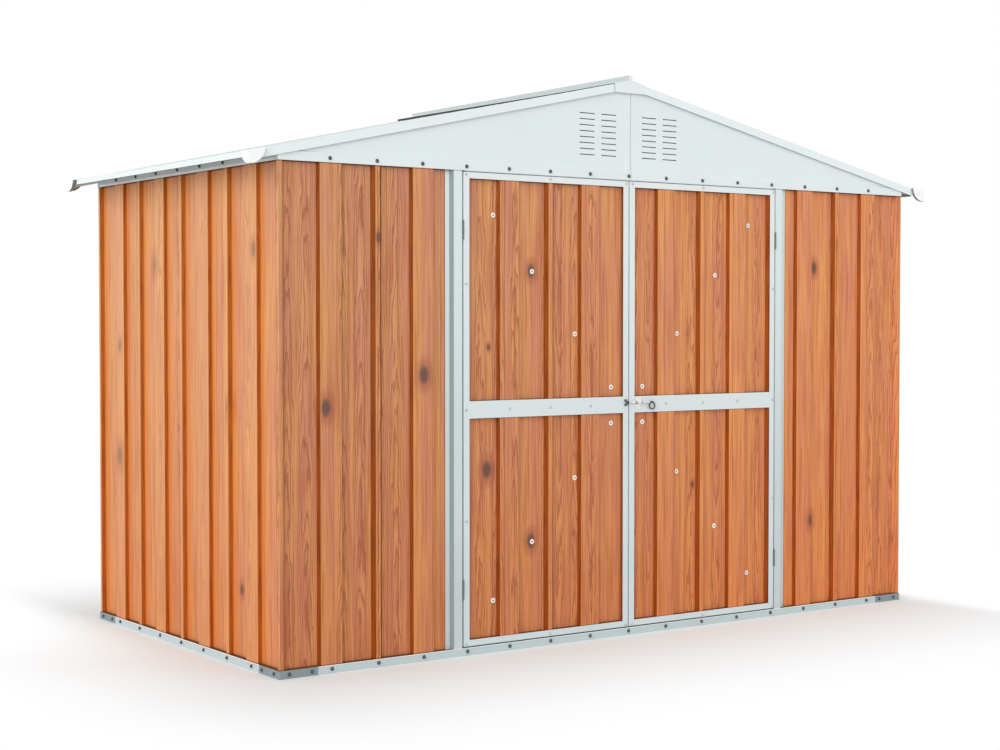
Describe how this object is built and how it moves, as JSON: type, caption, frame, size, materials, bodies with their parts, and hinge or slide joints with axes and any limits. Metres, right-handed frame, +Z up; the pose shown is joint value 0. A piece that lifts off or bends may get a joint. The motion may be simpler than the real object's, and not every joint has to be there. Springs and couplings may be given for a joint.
{
  "type": "metal garden shed",
  "caption": "Garden shed of ribbed wood-print steel sheets on a base rail, with pale trims, a shallow gable roof, vented gables and hinged double doors with a slide bolt.",
  "frame": {"origin": "middle of the footprint, on the ground", "axes": "+Z up; the doors and the front gable face -Y; +X runs along the front, to the right for someone facing the doors"},
  "size_m": [3.488, 1.674, 2.2903],
  "materials": {
    "wood_print_sheet": "satin wood-grain print on steel sheet",
    "pale_painted_steel": "satin pale grey-white paint",
    "grey_painted_steel": "satin light grey paint",
    "dark_grey_steel": "satin mid grey paint",
    "galvanised_steel": "galvanised",
    "hinge_steel": "dull grey steel",
    "plated_steel": "bright zinc plate"
  },
  "bodies": {
    "root": {"base_rails_long": "grey_painted_steel", "base_rails_side": "grey_painted_steel", "base_corners": "dark_grey_steel", "front_wall_left": "wood_print_sheet", "front_wall_right": "wood_print_sheet", "left_wall_front_sheet": "wood_print_sheet", "left_wall_back_sheet": "wood_print_sheet", "right_wall_front_sheet": "wood_print_sheet", "right_wall_back_sheet": "wood_print_sheet", "back_wall_left_sheet": "wood_print_sheet", "back_wall_right_sheet": "wood_print_sheet", "side_top_rails": "grey_painted_steel", "door_header": "pale_painted_steel", "back_header": "pale_painted_steel", "door_post_left": "pale_painted_steel", "door_post_right": "pale_painted_steel", "gable_front_left": "pale_painted_steel", "gable_front_right": "pale_painted_steel", "gable_back_left": "pale_painted_steel", "gable_back_right": "pale_painted_steel", "roof_sheet_left": "pale_painted_steel", "roof_sheet_right": "pale_painted_steel", "roof_purlins": "galvanised_steel", "ridge_cap": "pale_painted_steel", "verge_trim_front_left": "pale_painted_steel", "verge_trim_front_right": "pale_painted_steel", "verge_trim_back_left": "pale_painted_steel", "verge_trim_back_right": "pale_painted_steel", "eave_trims": "pale_painted_steel", "roof_corner_caps": "pale_painted_steel", "hinge_plates_fixed": "hinge_steel"},
    "door_left": {"door_left_sheet": "wood_print_sheet", "door_left_stiles": "pale_painted_steel", "door_left_rails": "pale_painted_steel", "door_left_braces": "galvanised_steel", "hinge_plates_left": "hinge_steel", "bolt_keeper": "hinge_steel"},
    "door_right": {"door_right_sheet": "wood_print_sheet", "door_right_stiles": "pale_painted_steel", "door_right_rails": "pale_painted_steel", "door_right_braces": "galvanised_steel", "hinge_plates_right": "hinge_steel", "bolt_plate": "plated_steel"},
    "bolt": {"bolt_rod": "plated_steel", "bolt_handle": "plated_steel"}
  },
  "joints": [
    {"name": "door_left_hinge", "type": "hinge", "parent": "root", "child": "door_left", "pos_m": [-0.82, -0.818, 0], "axis": [0, 0, -1], "range_deg": [0, 110]},
    {"name": "door_right_hinge", "type": "hinge", "parent": "root", "child": "door_right", "pos_m": [0.82, -0.818, 0], "axis": [0, 0, 1], "range_deg": [0, 110]},
    {"name": "bolt_slide", "type": "slide", "parent": "door_right", "child": "bolt", "axis": [-1, 0, 0], "range_m": [0, 0.026]}
  ]
}
